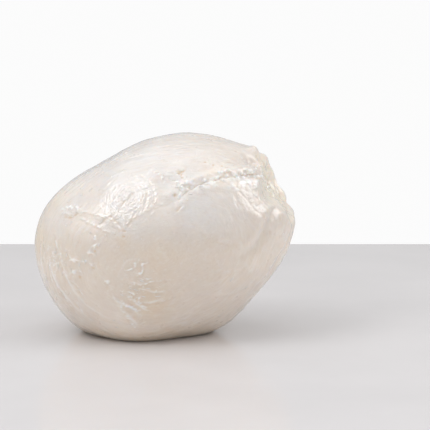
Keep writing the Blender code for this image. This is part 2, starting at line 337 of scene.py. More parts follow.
# Dents and swells of the skin alone: azimuth, elevation, reach in degrees, height in mm.
DENTS = (
    ("face of the near lobe", -20.5, 40.5, 3.6, -1.70),
    ("shallow by the wrinkle", -135.0, -15.5, 3.0, -0.25),
    ("shallow under the hook", -126.0, -3.0, 2.5, -0.20),
    ("ridge above the crack", -48.0, 41.5, 4.5, 0.15),
    ("flat by the pit", -86.0, 40.0, 8.0, -0.30),
)

# Where the skin is crinkled like fine leather: azimuth, elevation, reach in degrees, strength.
CRINKLES = (
    ("upper front", -117, 31, 18, 0.55),
    ("between the folds", -116, 12, 13, 0.7),
    ("by the neck", -55, 42, 14, 0.6),
    ("lower front", -106, -24, 15, 0.6),
    ("left end", -150, -8, 18, 0.6),
    ("back", 100, 40, 22, 0.8),
    ("back low", 70, -12, 22, 0.6),
    ("front pleat", -30, 24, 11, 1.0),
)

# Where beads of whey stand: azimuth, elevation, reach in degrees, strength.
BEADED = (
    ("by the bead rows", -30, 36, 6, 1.0),
    ("neck crack", -50, 38, 5, 0.5),
    ("knots", -75, 34, 6, 0.4),
    ("upper front", -113, 28, 14, 0.10),
    ("shoulder", -146, 17, 6, 0.4),
    ("back pleat", 32, 35, 7, 0.8),
)

# Fine rings pressed into the skin about a spot, with close small grains in the middle: azimuth, elevation,
# the rings' inner and outer radius in mm, strength.
PRESSED_RINGS = (
    ("upper front", -113, 30, 3.0, 11.5, 1.0),
    ("back", 118, 34, 3.0, 9.0, 0.8),
)
RINGS_TURN = 2.4  # mm of pattern that one ring runs through on its way round
GRAIN_SIZE = 0.8  # mm, of the grains in the rings' middle
GRAIN_HEIGHT = 0.08

# Where fine light threads of curd web the skin: azimuth, elevation, reach in degrees, strength.
WEBBED = (
    ("lower front", -104, -24, 14, 1.0),
    ("below the branches", -110, -40, 9, 0.6),
    ("between the folds", -125, 12, 8, 0.6),
    ("left end", -152, -12, 16, 0.9),
    ("by the knots", -80, 34, 8, 0.5),
    ("back", 110, -14, 20, 0.9),
    ("back top", 90, 46, 14, 0.5),
)

# Where the skin is painted paler and creamier, partly curd that is more opaque and partly painted light:
# azimuth, elevation, reach in degrees, strength.
CREAMY_AND_PAINTED_LIGHT = (
    ("between the folds", -136, 14, 12, 0.8),
    ("above the front fold", -92, 23, 12, 0.55),
    ("beside the highlight", -143, 31, 8, 0.7),
    ("left shoulder", -162, 24, 13, 0.8),
    ("foot", -118, -42, 13, 0.8),
    ("neck's tip", -24, 45, 9, 0.3),
    ("far flap", 14, 31, 9, 0.9),
    ("over the neck crack", -52, 40, 8, 0.8),
    ("back", 70, 10, 24, 0.7),
)

# Where the skin is painted yellower and a little darker: partly curd that has yellowed, partly painted
# warm shade. Azimuth, elevation, reach in degrees, strength.
YELLOWED_AND_SHADED = (
    ("low front", -98, -30, 14, 1.0),
    ("left end", -170, 18, 12, 0.6),
    ("left edge", -172, -2, 12, 1.0),
    ("below the star", -112, 4, 5, 0.5),
    ("right of the front", -92, -8, 15, 0.5),
    ("back foot", 60, -34, 18, 0.8),
)

# Where loose shreds of curd gather: azimuth, elevation, reach in degrees, strength.
SHREDDED = (
    ("nicks", -139, -9, 9, 1.0),
    ("hooked nick", -128, -1, 5, 1.0),
    ("lone nick", -121, -18, 3, 0.8),
    ("shoulder", -147, 17, 7, 1.0),
    ("threads", -128, 14, 9, 0.7),
    ("lower front", -106, -24, 12, 0.8),
    ("high left", -152, 42, 14, 0.6),
    ("by the pit", -74, 38, 8, 0.8),
    ("back nicks", 128, -4, 12, 1.0),
    ("back top", 96, 44, 14, 0.7),
)

# Rows of small wet beads of curd: a path, then the beads' spacing, radius and rise in mm.
BEAD_SEED = 17
BEAD_ROWS = (
    ("upper row", ((-43, 38), (-37, 37), (-31, 36), (-26, 36), (-21, 37)), 1.35, 0.52, 0.40),
    ("second row", ((-41, 34), (-34, 34), (-28, 33), (-21, 32)), 1.70, 0.70, 0.45),
    ("lobe's edge", ((-27, 46), (-25, 43), (-26, 40), (-29, 38)), 0.95, 0.34, 0.20),
    ("near rim", ((-19, 41), (-20, 37), (-22, 33), (-23, 29)), 1.25, 0.45, 0.34),
    ("lip of the neck crack", ((-62, 38), (-56, 38), (-50, 40), (-44, 39)), 2.30, 0.50, 0.20),
    ("chain by the knots", ((-80, 40), (-78, 36), (-81, 32)), 1.80, 0.50, 0.22),
    ("back pleat", ((20, 35), (30, 36), (42, 35)), 1.50, 0.55, 0.36),
    ("back rim", ((10, 42), (16, 36), (20, 30)), 1.30, 0.45, 0.30),
)


def direction(azimuth, elevation):
    """Unit vector for an azimuth and an elevation in degrees."""
    turn, rise = np.radians(azimuth), np.radians(elevation)
    return np.array((np.cos(rise) * np.cos(turn), np.cos(rise) * np.sin(turn), np.sin(rise)))


LEAN_UP = np.array(((np.cos(TILT), 0, -np.sin(TILT)), (0, 1, 0), (np.sin(TILT), 0, np.cos(TILT))))
NECK_AXIS = np.array((np.cos(NECK_LEAN), 0.0, np.sin(NECK_LEAN)))
NECK_TOP = np.array((-np.sin(NECK_LEAN), 0.0, np.cos(NECK_LEAN)))
NECK_FRONT = np.array((0.0, -1.0, 0.0))


def unit(vectors):
    """Each row scaled to length one."""
    return vectors / np.maximum(np.linalg.norm(vectors, axis=-1, keepdims=True), 1e-12)


def bump(distance, reach):
    """A smooth bell, one at the middle and near zero past twice its reach."""
    return np.exp(-((distance / reach) ** 2))


def cusp(distance, reach):
    """A sharp-bottomed groove, one at the middle and fading over its reach on both sides."""
    return np.exp(-np.abs(distance) / reach)


def ramp(values, low, high):
    """Smooth step from 0 at low to 1 at high."""
    share = np.clip((values - low) / (high - low), 0, 1)
    return share * share * (3 - 2 * share)


def rounded_above_zero(values, rounding):
    """Zero below zero and the value itself above, with a rounded corner between."""
    corner = (values + rounding) ** 2 / (4 * rounding)
    return np.where(values < -rounding, 0.0, np.where(values > rounding, values, corner))


def turn_between(angles, middle):
    """Difference of two angles in radians, brought into -pi to pi."""
    return (angles - middle + np.pi) % (2 * np.pi) - np.pi


def angle_from(directions, azimuth, elevation):
    """Angle in radians between each direction and the one at this azimuth and elevation in degrees."""
    return np.arccos(np.clip(directions @ direction(azimuth, elevation), -1, 1))


def round_spot(directions, azimuth, elevation, reach):
    """A smooth bell about a spot, all in degrees: one at its middle and near zero past twice its reach."""
    return bump(angle_from(directions, azimuth, elevation), np.radians(reach))


def crowd(directions, toward, share):
    """Draw the grid's directions toward one of them, where the shape is finest."""
    along = np.clip(directions @ toward, -1, 1)
    away = np.arccos(along)
    across = unit(directions - np.outer(along, toward))
    drawn = away - share * np.sin(away)
    return np.outer(np.cos(drawn), toward) + across * np.sin(drawn)[:, None]


def hand_formed_body(directions):
    """The tilted ellipsoid with its swells and hollows."""
    stretched = directions * (HALF_LENGTH, HALF_DEPTH, HALF_THICKNESS)
    points = stretched @ LEAN_UP.T
    outward = unit(points)
    rise = np.zeros(len(points))
    for _, azimuth, elevation, reach, height in SWELLS:
        rise += height * MM * round_spot(outward, azimuth, elevation, reach)
    return points + outward * rise[:, None]


def seen_along_neck(points):
    """Each point's place along, above and before the neck's axis, its angle about it and distance from it."""
    top = points @ NECK_TOP - NECK_OFFSET
    front = points @ NECK_FRONT
    return points @ NECK_AXIS, top, front, np.arctan2(front, top), np.hypot(front, top)


def gather_pleats(points):
    """Press the pleats into the shoulder round the neck, each with a lip along its upper side."""
    along, _, front, around, spread = seen_along_neck(points)
    rim = NECK_CUT - NECK_SLANT * front
    rise = np.zeros(len(points))
    for _, angle, twist, depth, half_width, length, lip in PLEATS:
        run = (rim - along) / (length * MM)  # 0 at the rim, 1 where the pleat dies out
        middle = np.radians(angle) + np.radians(twist) * np.sin(np.pi * np.clip(run, 0, 1))
        off = spread * np.sin(np.clip(turn_between(around, middle), -np.pi / 2, np.pi / 2))
        fade = np.clip(1 - run, 0, 1) ** PLEAT_FADE * (along > 0)
        rise -= depth * MM * bump(off, half_width * MM) * fade
        rise += lip * MM * bump(off + LIP_OFFSET * half_width * MM, half_width * MM) * fade
    return points + unit(points) * rise[:, None]


def tear_neck(points):
    """Cut the neck off at its uneven rim, sink and roughen the scar, and flare the rim's lobes. With the
    points comes how far each lies on the scar, from 0 to 1."""
    along, top, front, around, spread = seen_along_neck(points)
    lift = -NECK_SLANT * front
    flare = np.zeros(len(points))
    for _, angle, half_width, rise, outward in RIM_LOBES:
        lobe = bump(turn_between(around, np.radians(angle)), np.radians(half_width))
        lift += rise * MM * lobe
        flare += outward * MM * lobe
    inside = np.clip(spread / SCAR_RADIUS, 0, 1)
    level = NECK_CUT + lift * inside**2 - SCAR_DEPTH * (1 - inside**2) ** SCAR_BOWL
    for _, angle, distance, reach, height in SCAR_LUMPS:
        turn = np.radians(angle)
        off = np.hypot(top - distance * MM * np.cos(turn), front - distance * MM * np.sin(turn))
        level += height * MM * bump(off, reach * MM)
    cut_back = rounded_above_zero(along - level, RIM_ROUNDING)
    torn = points - np.outer(cut_back, NECK_AXIS)
    at_rim = bump((along - cut_back) - (NECK_CUT + lift), RIM_FLARE_REACH) * inside**3 * (along > 0)
    outward = np.outer(np.cos(around), NECK_TOP) + np.outer(np.sin(around), NECK_FRONT)
    return torn + outward * (flare * at_rim)[:, None], ramp(cut_back, 0, 2 * RIM_ROUNDING)


def rest_on_underside(points):
    """Spread the foot a little and press everything below the resting plane flat."""
    rested = points + (0, 0, CENTRE_HEIGHT)
    height = rested[:, 2]
    spread = 1 + SLUMP_SPREAD * bump(np.maximum(height, 0), SLUMP_HEIGHT)
    rested[:, :2] *= spread[:, None]
    rested[:, 2] = rounded_above_zero(height, FLAT_ROUNDING)
    return rested


# -----------------------------------------------------------------------------------------------------------
# Relief of the skin.


def lattice_noise(points, seed):
    """Smooth noise in about -1 to 1, one value a point, with lumps one unit across."""
    shuffle = np.random.default_rng(seed)
    order = np.tile(shuffle.permutation(256), 2)
    slopes = unit(shuffle.normal(size=(256, 3)))
    cell = np.floor(points).astype(int)
    inside = points - cell
    ease = inside**3 * (inside * (inside * 6 - 15) + 10)
    total = np.zeros(len(points))
    for corner in np.ndindex(2, 2, 2):
        at = (cell + corner) & 255
        pick = order[order[order[at[:, 0]] + at[:, 1]] + at[:, 2]]
        weight = np.prod(np.where(np.array(corner) == 1, ease, 1 - ease), axis=1)
        total += weight * np.einsum("ij,ij->i", slopes[pick], inside - corner)
    return total * 1.5


def lumps(points, size, seed, octaves=2):
    """Noise with lumps of one size in mm, and half-size ones at half strength."""
    total = np.zeros(len(points))
    for octave in range(octaves):
        total += lattice_noise(points / MM / size * 2**octave, seed + octave) / 2**octave
    return total


def uneven(points, layers):
    """Unevenness in mm, made of several noises laid together."""
    return sum(height * lumps(points, size, seed, octaves) for size, seed, octaves, height in layers)


def veins(noise, width):
    """1 where the noise crosses zero, falling to 0 where it reaches the width."""
    return 1 - np.clip(np.abs(noise) / width, 0, 1)


def pebbles(points, size, seed):
    """Heights from 0 to 1 of close-packed rounded lumps of one size in mm."""
    spots = np.random.default_rng(seed).random((1024, 3))
    place = points / MM / size
    cell = np.floor(place).astype(int)
    nearest = np.full(len(points), 9.0)
    for corner in np.ndindex(3, 3, 3):
        at = cell + corner - 1
        spot = at + spots[(at @ (73, 179, 283)) & 1023]
        nearest = np.minimum(nearest, ((place - spot) ** 2).sum(axis=1))
    return np.sqrt(np.clip(1 - nearest / 0.5, 0, 1))


def fibre_place(points):
    """Each point's place on a ball of mean radius before it was stretched, its distance from that ball's
    front or back pole along the skin, and how clearly its fibres run in rings about the poles. Lengths
    are metres."""
    upright = (points - (0, 0, CENTRE_HEIGHT)) @ LEAN_UP
    on_round = unit(upright / (HALF_LENGTH, HALF_DEPTH, HALF_THICKNESS))
    from_pole = np.arccos(np.clip(-on_round[:, 1], -1, 1)) * MEAN_RADIUS * MM
    half_round = np.pi * MEAN_RADIUS * MM
    ringed = ramp(np.minimum(from_pole, half_round - from_pole), *FIBRES_FROM_POLE)
    return on_round * MEAN_RADIUS * MM, from_pole, ringed


def along_fibres(points, stretch):
    """Coordinates drawn together along the fibres, so that a pattern on them comes out that much longer."""
    on_round, from_pole, ringed = fibre_place(points)
    drawn = 1 + (stretch - 1) * ringed
    across_run = from_pole + uneven(points, FIBRE_SWAY) * MM
    return np.stack((on_round[:, 0] / drawn, on_round[:, 2] / drawn, across_run), axis=1)


def fibre_run(points):
    """Unit vector along the fibres at each point."""
    right, _, up = fibre_place(points)[0].T
    run = np.stack((-HALF_LENGTH * up, np.zeros(len(points)), HALF_THICKNESS * right), axis=1)
    return unit(run @ LEAN_UP.T)


def fibre_lines(points, length, spacing, seed):
    """Thin lines along the fibres, 1 on a line and 0 between: their length and spacing in mm."""
    return veins(lattice_noise(along_fibres(points, length / spacing) / MM / spacing, seed), 0.22) ** 1.5


def smooth_path(path, steps=7):
    """Directions along a curve through the path's own, by Catmull and Rom's rule."""
    knots = np.array([direction(*place) for place in path])
    knots = np.vstack((2 * knots[0] - knots[1], knots, 2 * knots[-1] - knots[-2]))
    made = []
    for i in range(1, len(knots) - 2):
        before, start, end, after = knots[i - 1 : i + 3]
        for t in np.arange(steps) / steps:
            made.append(
                0.5 * (2 * start + (end - before) * t + (2 * before - 5 * start + 4 * end - after) * t**2
                       + (3 * start - before - 3 * end + after) * t**3)
            )
    made.append(knots[-2])
    return unit(np.array(made))


def measure_to_path(directions, path):
    """Signed distance in mm from the path, positive on its left, and the share of the way along it."""
    line = smooth_path(path)
    nearest = np.full(len(directions), 1e9)
    signed = np.full(len(directions), 1e9)
    share = np.zeros(len(directions))
    for i, (start, end) in enumerate(zip(line[:-1], line[1:])):
        step = end - start
        t = np.clip((directions - start) @ step / (step @ step), 0, 1)
        away = directions - start - np.outer(t, step)
        distance = np.linalg.norm(away, axis=1)
        closer = distance < nearest
        left = np.einsum("ij,ij->i", np.cross(directions, step), away)
        nearest = np.where(closer, distance, nearest)
        signed = np.where(closer, np.where(left >= 0, distance, -distance), signed)
        share = np.where(closer, (i + t) / (len(line) - 1), share)
    return signed * MEAN_RADIUS, share


def tapered(share, margin):
    """Fading at both ends of a path, by the share of the way along it: a margin leaves a little there."""
    return np.sqrt(np.clip(np.sin(np.pi * (margin + (1 - 2 * margin) * share)), 0, 1))


def measure_near_path(directions, path, reach_mm):
    """Indices of the directions that lie near the path, then their signed distance from it in mm and the
    share of the way along it."""
    middle = unit(sum(direction(*place) for place in path))
    half = max(angle_from(middle, *place) for place in path)
    near = np.flatnonzero(directions @ middle > np.cos(min(half + reach_mm / MEAN_RADIUS, np.pi)))
    return near, *measure_to_path(directions[near], path)


def spots_share(directions, spots):
    """From 0 to 1, how far each direction lies in any of the round spots."""
    share = np.zeros(len(directions))
    for _, azimuth, elevation, reach, strength in spots:
        share = np.maximum(share, strength * round_spot(directions, azimuth, elevation, reach))
    return share


def bead_relief(directions):
    """Height in mm of the rows of beads, each a dome of its own size a little out of line, and how far
    each point lies on a bead."""
    height, beads = np.zeros((2, len(directions)))
    drawn = np.random.default_rng(BEAD_SEED).uniform(-1, 1, (64, 3))
    for row, (_, path, spacing, radius, rise) in enumerate(BEAD_ROWS):
        near, off, share = measure_near_path(directions, path, 3 * radius)
        length = np.linalg.norm(np.diff(smooth_path(path), axis=0), axis=1).sum() * MEAN_RADIUS
        number = np.clip(np.floor(share * length / spacing), 0, length / spacing - 1)
        along, side, size = drawn[(number.astype(int) + 11 * row) % len(drawn)].T
        from_middle = share * length - (number + 0.5 + 0.30 * along) * spacing
        size = radius * (0.78 + 0.42 * size)
        dome = np.sqrt(np.clip(1 - (from_middle**2 + (off - 0.8 * radius * side) ** 2) / size**2, 0, 1))
        height[near] += rise * dome * size / radius
        beads[near] = np.maximum(beads[near], dome)
    return height, beads


def front_and_back(rows):
    """Each row's path and sizes, and then the same with its path turned about to the back and shifted."""
    for _, path, *sizes in rows:
        yield path, *sizes
        turned = tuple((-0.96 * azimuth - 4, 0.9 * elevation + 5) for azimuth, elevation in reversed(path))
        yield turned, *sizes


def crease_relief(directions, points):
    """Height in mm of all creases, and from 0 to 1 how far each point lies in a groove, where shade is
    painted, and on a lip, which is painted pale and lit.
    """
    height, hollow, pale_and_lit_lips = np.zeros((3, len(directions)))
    waver = uneven(points, CREASE_WAVER)
    broken = 0.45 + 0.55 * ramp(lumps(points, 1.8, 43, 1), -0.35, 0.25)
    beaded = 0.15 + 1.15 * ramp(lumps(points, 1.1, 44, 1), -0.30, 0.35)
    for path, depth, half_width, lip in front_and_back(CREASES):
        near, off, share = measure_near_path(directions, path, CREASE_REACH)
        off = off + waver[near]
        ends = tapered(share, 0.04)
        groove = cusp(off, half_width) * ends * broken[near]
        ledge = bump(off - 1.5 * half_width, half_width) * ends * beaded[near]
        height[near] += lip * ledge - depth * groove
        hollow[near] = np.maximum(hollow[near], groove * min(1, depth / 0.4))
        pale_and_lit_lips[near] = np.maximum(pale_and_lit_lips[near], ledge * min(1, lip / 0.4))
    return height, hollow, np.minimum(pale_and_lit_lips, 1)


def fold_relief(directions, points):
    """Height in mm of the bulges over the folds, the lumpy bands in them, the holes, the raised blister spots
    and the dents, how far each point lies in a hole or between lumps, where shade is painted, and how far on
    a blister, lump or thread, which is painted pale and lit."""
    height, hollow, pale_and_lit_lips = np.zeros((3, len(directions)))
    for _, path, rise, fade in BULGES:
        off, share = measure_to_path(directions, path)
        over = ramp(off, -BULGE_EDGE / 2, BULGE_EDGE / 2) * bump(np.maximum(off, 0), fade)
        height += rise * tapered(share, 0.02) * over
    for i, (_, path, half_width, rise, size, filling) in enumerate(LUMPY_BANDS):
        near, off, share = measure_near_path(directions, path, 3 * half_width)
        band = bump(off, half_width) * tapered(share, 0.03)
        lump = pebbles(points[near], size, 71 + i) * (0.7 + 0.3 * pebbles(points[near], size * 0.45, 81 + i))
        height[near] += band * (filling + rise * lump)
        hollow[near] = np.maximum(hollow[near], band * (1 - lump) * 0.3)
        pale_and_lit_lips[near] = np.maximum(pale_and_lit_lips[near], band * lump)
    waver = uneven(points, THREAD_WAVER)
    for path, half_width, rise in front_and_back(SOFT_THREADS):
        near, off, share = measure_near_path(directions, path, 4 * half_width)
        thread = bump(off + waver[near], half_width) * np.clip(np.sin(np.pi * share), 0, 1)
        height[near] += rise * thread
        pale_and_lit_lips[near] = np.maximum(pale_and_lit_lips[near], min(1, 3.4 * rise) * thread)
    waver = uneven(points, SPOT_WAVER)
    for _, azimuth, elevation, radius, rise in SPOTS:
        spot = bump(angle_from(directions, azimuth, elevation) * MEAN_RADIUS + waver, radius)
        height += rise * spot
        if rise < 0:
            hollow = np.maximum(hollow, spot)
        else:
            pale_and_lit_lips = np.maximum(pale_and_lit_lips, spot)
    for _, azimuth, elevation, reach, rise in DENTS:
        height += rise * round_spot(directions, azimuth, elevation, reach)
    return height, hollow, pale_and_lit_lips


def pressed_rings(directions, points):
    """Coordinates in metres in which the pressed rings are level lines, how clearly the rings show, and
    the height in mm of the grains within them."""
    place = np.zeros((len(directions), 3))
    ringed, height = np.zeros((2, len(directions)))
    for i, (_, azimuth, elevation, inner, outer, strength) in enumerate(PRESSED_RINGS):
        middle = direction(azimuth, elevation)
        across = directions - np.outer(directions @ middle, middle)
        away = np.linalg.norm(directions - middle, axis=1) * MEAN_RADIUS
        swept = np.column_stack((away, unit(across)[:, [0, 2]] * RINGS_TURN))
        swept += 0.4 * lumps(points, 4, 91 + i)[:, None]
        shown = strength * ramp(away, 0.3 * inner, inner) * ramp(away, outer + 3, 0.5 * outer)
        place = np.where(shown[:, None] > ringed[:, None], swept * MM, place)
        ringed = np.maximum(ringed, shown)
        grains = ramp(away, inner + 3, inner - 1) * pebbles(points, GRAIN_SIZE, 95 + i)
        height += GRAIN_HEIGHT * strength * grains
    return place, ringed, height


def skin_relief(points, directions):
    """Height in mm of the skin's relief over the smooth form, and the shares that its material reads."""
    creases, hollow, pale_and_lit_lips = crease_relief(directions, points)
    folds, fold_hollow, fold_pale_and_lit_lips = fold_relief(directions, points)
    rows, beads = bead_relief(directions)
    height = uneven(points, SWELLINGS) + (creases + folds + rows)
    hollow = np.maximum(hollow, fold_hollow) * (1 - beads)
    pale_and_lit_lips = np.maximum(np.maximum(pale_and_lit_lips, fold_pale_and_lit_lips), beads)

    # Wrinkles drawn out along the fibres: long and sparse in patches, short and close between them.
    ringed = fibre_place(points)[2]
    patches = ramp(lumps(points, 11, 21), -0.15, 0.45)
    ridged = ramp(lumps(points, 7, 23), -0.2, 0.4)
    long_lines = fibre_lines(points, *LONG_WRINKLES) * patches * (0.2 + 0.8 * ringed)
    short_lines = fibre_lines(points, *SHORT_WRINKLES) * (1 - 0.5 * patches) * (0.3 + 0.7 * ringed)
    ridges = fibre_lines(points, *FIBRE_RIDGES) * ridged * (0.3 + 0.7 * ringed)
    streaks = lattice_noise(along_fibres(points, FIBRE_DRAW) / MM / FIBRE_STREAK_SPACING, 37)
    height += FIBRE_RIDGE_RISE * ridges + FIBRE_STREAK_RISE * streaks
    height -= LONG_WRINKLE_DEPTH * long_lines + SHORT_WRINKLE_DEPTH * short_lines
    # Shade is painted into the wrinkles' grooves, and light onto the ridges.
    hollow = np.maximum(hollow, 0.28 * np.maximum(long_lines, 0.7 * short_lines))
    pale_and_lit_lips = np.maximum(pale_and_lit_lips, 0.35 * ridges)

    # Crinkles like fine leather's, and a web of light threads.
    crinkled = spots_share(directions, CRINKLES) * (0.55 + 0.45 * ramp(lumps(points, 5, 51), -0.3, 0.3))
    net = veins(lumps(points, NET_SIZE, 55), 0.22)
    fine_net = veins(lumps(points, FINE_NET_SIZE, 57, 1), 0.25)
    crossing = fibre_lines(points, *CROSSING_WRINKLES)
    height -= CRINKLE_DEPTH * crinkled * (net + fine_net + crossing)
    # Shade is painted into the crinkles' net.
    hollow = np.maximum(hollow, crinkled * 0.3 * np.maximum(net**2, 0.8 * crossing))
    fine_web = lattice_noise(along_fibres(points, 2) / MM / FINE_WEB_SIZE, 113)
    web = np.maximum(veins(lumps(points, WEB_SIZE, 111), 0.10), veins(fine_web, 0.08))
    web *= spots_share(directions, WEBBED) * ramp(lumps(points, 2.4, 115, 1), -0.25, 0.30)
    height += WEB_RISE * web
    # The web's threads are painted pale and lit, like the crests of the lips.
    return height, hollow, np.maximum(pale_and_lit_lips, web), crinkled


def wound(spread, around, spacing, turn):
    """Coordinates whose noise rings the neck's middle: rings this far apart in mm, each of which runs
    through a circle of pattern of this radius."""
    return np.column_stack((spread / MM / spacing, turn * np.cos(around), turn * np.sin(around)))


def scar_relief(points):
    """Height in mm of the torn neck's ragged floor, and how far each point lies in a groove of it, where
    shade is painted. The curd parted in layers that ring its middle, and was pulled out into lumps and
    threads."""
    around, spread = seen_along_neck(points - (0, 0, CENTRE_HEIGHT))[3:]
    rings = wound(spread, around, SCAR_LAYER_SPACING, SCAR_LAYER_TURN) + 0.40 * lumps(points, 5, 60)[:, None]
    layers = veins(lattice_noise(rings, 62), 0.30) * ramp(spread, SCAR_RADIUS, 0.65 * SCAR_RADIUS)
    spokes = wound(spread, around, SCAR_THREAD_LENGTH, SCAR_THREAD_TURN)
    threads = veins(lattice_noise(spokes, 65), 0.35)
    pulled = SCAR_LUMP_HEIGHT * lumps(points, SCAR_LUMP_SIZE, 61, 1) - SCAR_THREAD_DEPTH * threads
    pulled *= ramp(spread, 1.1 * SCAR_RADIUS, 0.5 * SCAR_RADIUS)
    return pulled - SCAR_LAYER_DEPTH * layers, np.maximum(0.9 * layers, 0.4 * threads**2)


def ball_grid():
    """A closed mesh of six squared grids, and its vertices' directions, closer where the shape is fine."""
    grid = bmesh.new()
    bmesh.ops.create_cube(grid, size=2.0)
    bmesh.ops.subdivide_edges(grid, edges=grid.edges, cuts=CELLS - 1, use_grid_fill=True)
    bmesh.ops.recalc_face_normals(grid, faces=grid.faces)
    mesh = bpy.data.meshes.new("ball_of_curd")
    grid.to_mesh(mesh)
    grid.free()
    lean = np.array(Matrix.Rotation(-NECK_LEAN, 3, "Y"))
    directions = unit(np.tan(read_points(mesh) * np.pi / 4)) @ lean.T
    directions = crowd(directions, direction(*CROWDED_FRONT), FRONT_CROWDING)
    return mesh, crowd(directions, NECK_AXIS, NECK_CROWDING)


def ball_mesh():
    """The ball as one closed mesh with its relief, and the attributes its material and the scatters read."""
    mesh, directions = ball_grid()
    torn_body, torn = tear_neck(gather_pleats(hand_formed_body(directions)))
    points = rest_on_underside(torn_body)
    low, high = points.min(axis=0), points.max(axis=0)
    points[:, :2] -= (low[:2] + high[:2]) / 2
    write_points(mesh, points)
    normals = np.empty(len(points) * 3, np.float32)
    mesh.vertex_normals.foreach_get("vector", normals)
    normals = normals.reshape(-1, 3).astype(float)

    directions = unit(points - (0, 0, CENTRE_HEIGHT))
    ring_place, ringed, grains = pressed_rings(directions, points)
    height, hollow, pale_and_lit_lips, crinkled = skin_relief(points, directions)
    ragged, scar_hollow = scar_relief(points)
    height = (height + grains) * (1 - 0.5 * torn) + ragged * torn
    hollow = np.maximum(hollow, torn * scar_hollow)
    along = (points - (0, 0, CENTRE_HEIGHT)) @ NECK_AXIS
    height += ramp(along, *NEAR_NECK) * (1 - torn) * uneven(points, NECK_LUMPS)

    level = points[:, 2]
    above_table = ramp(level, *ABOVE_TABLE)
    off_foot = ramp(level, *OFF_FOOT)
    for name, values in (
        ("torn", torn),
        # Painted shade in the relief's grooves, holes and the scar's layers.
        ("hollow", hollow * above_table),
        # Crests of lip, ridge, blister, bead and thread painted near-white: partly paler curd, partly painted
        # highlight.
        ("pale_and_lit_lips", pale_and_lit_lips * above_table),
        ("crinkled", crinkled),
        # Painted warm shade over the lower side of the ball.
        ("painted_warm_shade_low", ramp(level, *PAINTED_WARM_SHADE_LOW)),
        ("neck_side", ramp(along, *NECK_SIDE)),
        # Paler, creamier patches: partly more opaque curd, partly painted light.
        ("creamy_and_painted_light", spots_share(directions, CREAMY_AND_PAINTED_LIGHT)),
        # Yellower and darker patches and foot: partly yellowed curd, partly painted warm shade.
        ("yellowed_and_shaded", np.maximum(spots_share(directions, YELLOWED_AND_SHADED), ramp(level, *YELLOWED_AND_SHADED_FOOT))),
        ("shredded", (STRAY_SHREDS + (1 - STRAY_SHREDS) * spots_share(directions, SHREDDED)) * off_foot),
        ("beaded", (STRAY_BEADS + (1 - STRAY_BEADS) * spots_share(directions, BEADED)) * off_foot),
        ("ringed", ringed),
        ("ring_place", ring_place),
        ("along_fibres", along_fibres(points, FIBRE_DRAW)),
        ("fibre_run", fibre_run(points)),
    ):
        write_attribute(mesh, name, values)

    points = points + normals * (height * MM * above_table)[:, None]
    points[:, 2] = np.maximum(points[:, 2], 0)
    write_points(mesh, points)
    mesh.shade_smooth()
    return mesh


def read_points(mesh):
    """The mesh's vertices as rows of doubles."""
    flat = np.empty(len(mesh.vertices) * 3, np.float32)
    mesh.vertices.foreach_get("co", flat)
    return flat.reshape(-1, 3).astype(float)


def write_points(mesh, points):
    """Put the mesh's vertices at these points."""
    mesh.vertices.foreach_set("co", points.astype(np.float32).ravel())
    mesh.update()


def write_attribute(mesh, name, values):
    """One number or one vector for each vertex, for materials and scatters to read."""
    kind, field = ("FLOAT", "value") if values.ndim == 1 else ("FLOAT_VECTOR", "vector")
    attribute = mesh.attributes.new(name, kind, "POINT")
    attribute.data.foreach_set(field, values.astype(np.float32).ravel())


# -----------------------------------------------------------------------------------------------------------
# Materials.


def linear(code):
    """A linear colour from an sRGB hex code."""
    parts = [int(code[i : i + 2], 16) / 255 for i in (1, 3, 5)]
    return tuple(c / 12.92 if c <= 0.04045 else ((c + 0.055) / 1.055) ** 2.4 for c in parts) + (1.0,)


def add_node(tree, kind, inputs=(), **settings):
    """Add a node: settings are its properties, and inputs give a named or numbered socket a value or link."""
    made = tree.nodes.new(kind)
    for name, value in settings.items():
        setattr(made, name, value)
    for name, value in dict(inputs).items():
        if isinstance(value, bpy.types.NodeSocket):
            tree.links.new(value, made.inputs[name])
        else:
            made.inputs[name].default_value = value
    return made


def new_material(name, values):
    """A node material with its shader, whose sockets take the values."""
    material = bpy.data.materials.new(name)
    material.use_nodes = True
    tree = material.node_tree
    shader = tree.nodes["Principled BSDF"]
    for socket, value in values.items():
        shader.inputs[socket].default_value = value
    return material, tree, shader


def lay_colours(tree, base, layers):
    """Lay colours over a base one by one. A layer has the value that steers it, the value's low and high,
    how far the colour covers at its high, and the colour."""
    for value, low, high, cover, code in layers:
        share = add_node(
            tree,
            "ShaderNodeMapRange",
            {"Value": value, "From Min": low, "From Max": high, "To Max": cover},
            interpolation_type="SMOOTHSTEP",
        )
        laid = add_node(
            tree, "ShaderNodeMix", {0: share.outputs[0], 6: base, 7: linear(code)}, data_type="RGBA"
        )
        base = laid.outputs[2]
    return base


